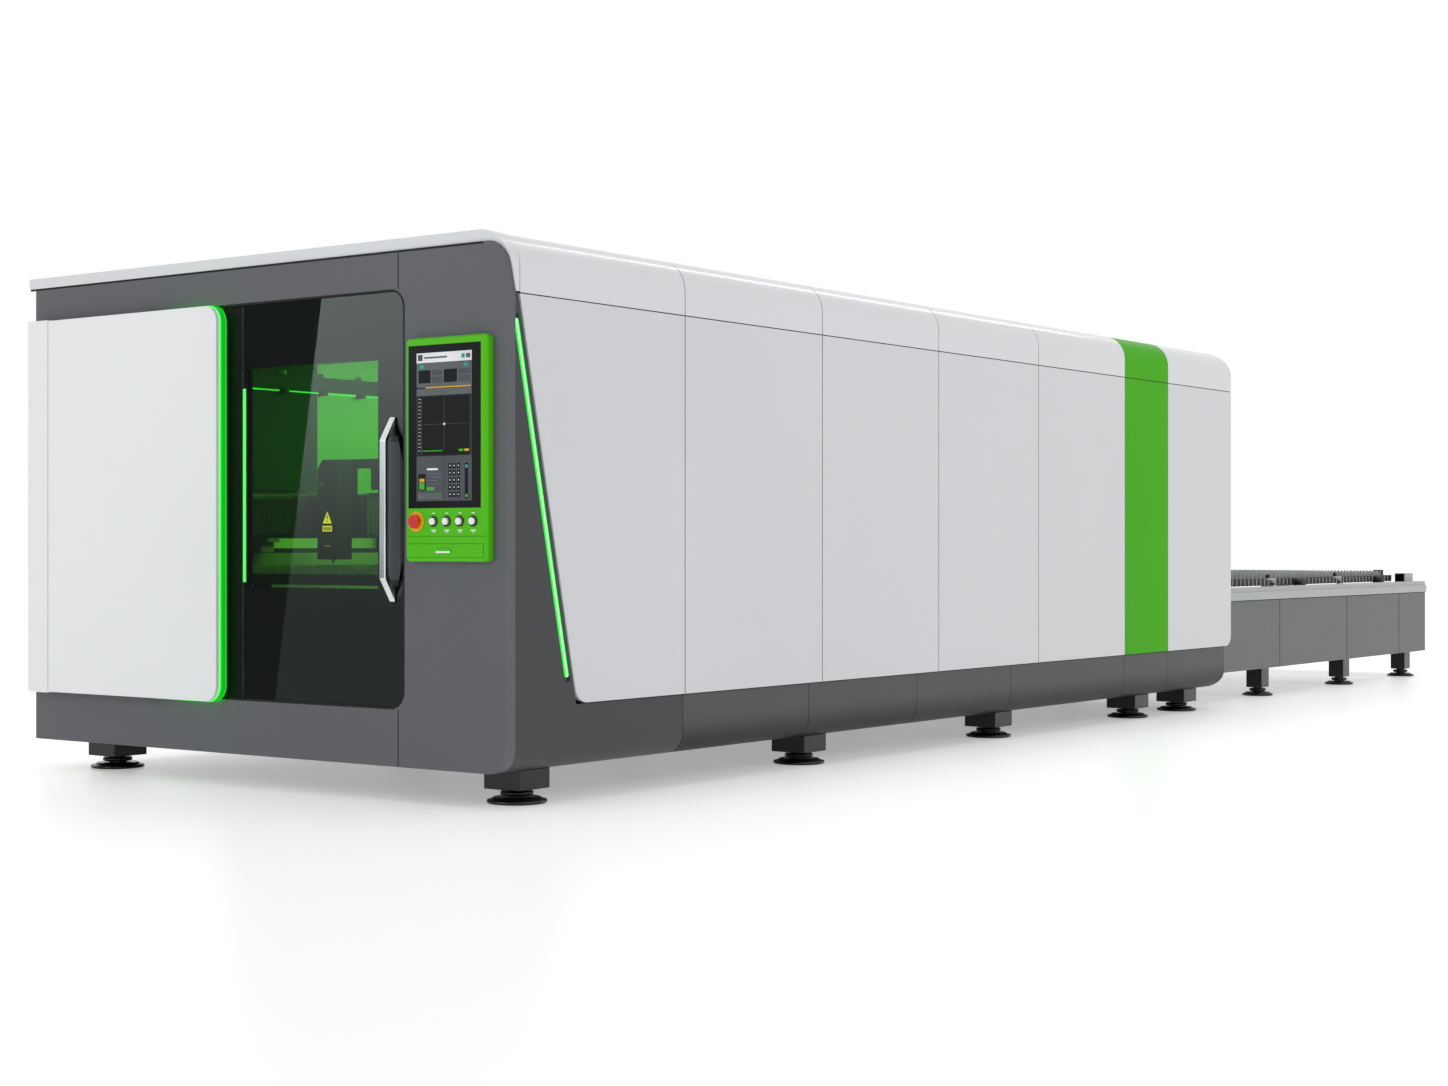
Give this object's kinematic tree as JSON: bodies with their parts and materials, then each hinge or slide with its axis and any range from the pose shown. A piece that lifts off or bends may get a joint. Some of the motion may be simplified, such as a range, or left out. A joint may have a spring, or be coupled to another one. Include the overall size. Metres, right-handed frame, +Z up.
{
  "type": "fiber laser cutting machine",
  "caption": "Enclosed fiber laser cutting machine with a sliding glass door, an operator console, a gantry inside and a pallet exchange table behind it.",
  "frame": {"origin": "centre of the bounding box on the floor", "axes": "+X runs from the operator end to the exchange table, +Y from the near side to the far side, +Z up"},
  "size_m": [12.225, 3.128, 2.41],
  "materials": {
    "white_paint": "semi-gloss powder coat",
    "green_paint": "semi-gloss powder coat",
    "grey_paint": "satin powder coat",
    "rail_paint": "satin powder coat",
    "bed_paint": "satin machine paint",
    "black_paint": "satin powder coat",
    "tinted_glass": "tinted laser safety glass, glossy",
    "polished_steel": "polished",
    "yellow_plastic": "glossy",
    "light_diffuser": "clear diffuser over a light strip",
    "screen_glass": "glossy",
    "black_plastic": "matte",
    "white_plastic": "glossy",
    "red_plastic": "glossy",
    "bright_steel": "ground",
    "bellows_fabric": "coated fabric",
    "head_paint": "semi-gloss powder coat",
    "cut_steel": "mill finish"
  },
  "bodies": {
    "machine": {"button_collars": "black_plastic", "console_housing": "green_paint", "console_screen": "screen_glass", "corner_column": "grey_paint", "cover_edge_light": "light_diffuser", "cover_panels": "white_paint", "door_track": "black_paint", "drive_chains": "cut_steel", "end_panel": "white_paint", "exchange_drive": "bed_paint", "far_side_panels": "white_paint", "foot_blocks": "black_paint", "frame_posts": "grey_paint", "green_stripe": "green_paint", "levelling_feet": "black_paint", "light_strip": "light_diffuser", "machine_bed": "bed_paint", "portal_frame": "grey_paint", "rear_wall": "white_paint", "roof_beams": "grey_paint", "roof_cap": "white_paint", "roof_deck": "white_paint", "roof_shells": "white_paint", "side_panel_1": "white_paint", "side_panel_2": "white_paint", "side_panel_3": "white_paint", "side_panel_4": "white_paint", "side_panel_5": "white_paint", "side_return": "grey_paint", "skirt_panels": "grey_paint", "stop_ring": "yellow_plastic", "table_frame": "grey_paint", "table_panels": "grey_paint", "table_rails": "rail_paint", "x_rails": "bright_steel"},
    "door": {"door_leaf": "black_paint", "door_glass": "tinted_glass", "door_light_bar": "light_diffuser", "door_handle": "polished_steel", "handle_plate": "black_paint"},
    "gantry": {"gantry_carriages": "bed_paint", "gantry_beam": "bed_paint", "y_rails": "bright_steel", "beam_bellows": "bellows_fabric"},
    "head": {"head_carriage": "head_paint"},
    "cutting_head": {"z_slide": "head_paint", "cutting_nozzle": "bright_steel", "head_cover": "head_paint"},
    "inner_pallet": {"upper_pallet": "cut_steel", "upper_slats": "cut_steel"},
    "outer_pallet": {"lower_pallet": "cut_steel", "lower_slats": "cut_steel"},
    "sprocket_shaft": {"drive_shaft": "bright_steel"},
    "gate": {"rear_gate": "bed_paint"},
    "drawer": {"console_drawer": "green_paint"},
    "stop": {"stop_button": "red_plastic"},
    "push_1": {"button_1": "white_plastic"},
    "push_2": {"button_2": "white_plastic"},
    "push_3": {"button_3": "white_plastic"},
    "push_4": {"button_4": "white_plastic"}
  },
  "joints": [
    {"name": "front_door_slide", "type": "slide", "parent": "machine", "child": "door", "axis": [0, 1, 0], "range_m": [0, 0.96]},
    {"name": "gantry_travel", "type": "slide", "parent": "machine", "child": "gantry", "axis": [1, 0, 0], "range_m": [-0.1, 3.95]},
    {"name": "carriage_travel", "type": "slide", "parent": "gantry", "child": "head", "axis": [0, 1, 0], "range_m": [-1.39, 0.6], "deforming": ["beam_bellows"]},
    {"name": "z_travel", "type": "slide", "parent": "head", "child": "cutting_head", "axis": [0, 0, 1], "range_m": [0, 0.12]},
    {"name": "upper_pallet_slide", "type": "slide", "parent": "machine", "child": "inner_pallet", "axis": [1, 0, 0], "range_m": [0, 6.85]},
    {"name": "lower_pallet_slide", "type": "slide", "parent": "machine", "child": "outer_pallet", "axis": [1, 0, 0], "range_m": [-6.85, 0]},
    {"name": "drive_shaft_spin", "type": "hinge", "parent": "machine", "child": "sprocket_shaft", "pos_m": [5.9925, -0.0225, 0.69], "axis": [0, 1, 0], "range_deg": [0, 7860]},
    {"name": "rear_gate_lift", "type": "slide", "parent": "machine", "child": "gate", "axis": [0, 0, 1], "range_m": [-0.425, 0]},
    {"name": "console_drawer_slide", "type": "slide", "parent": "machine", "child": "drawer", "axis": [-1, 0, 0], "range_m": [0, 0.16]},
    {"name": "stop_button_press", "type": "slide", "parent": "machine", "child": "stop", "axis": [1, 0, 0], "range_m": [0, 0.005], "stiffness_N_per_m": 600},
    {"name": "button_1_press", "type": "slide", "parent": "machine", "child": "push_1", "axis": [1, 0, 0], "range_m": [0, 0.004], "stiffness_N_per_m": 400},
    {"name": "button_2_press", "type": "slide", "parent": "machine", "child": "push_2", "axis": [1, 0, 0], "range_m": [0, 0.004], "stiffness_N_per_m": 400},
    {"name": "button_3_press", "type": "slide", "parent": "machine", "child": "push_3", "axis": [1, 0, 0], "range_m": [0, 0.004], "stiffness_N_per_m": 400},
    {"name": "button_4_press", "type": "slide", "parent": "machine", "child": "push_4", "axis": [1, 0, 0], "range_m": [0, 0.004], "stiffness_N_per_m": 400}
  ],
  "couplings": [
    {"joint": "lower_pallet_slide", "follows": "upper_pallet_slide", "ratio": -1},
    {"joint": "drive_shaft_spin", "follows": "upper_pallet_slide", "rad_per_m": 20}
  ]
}
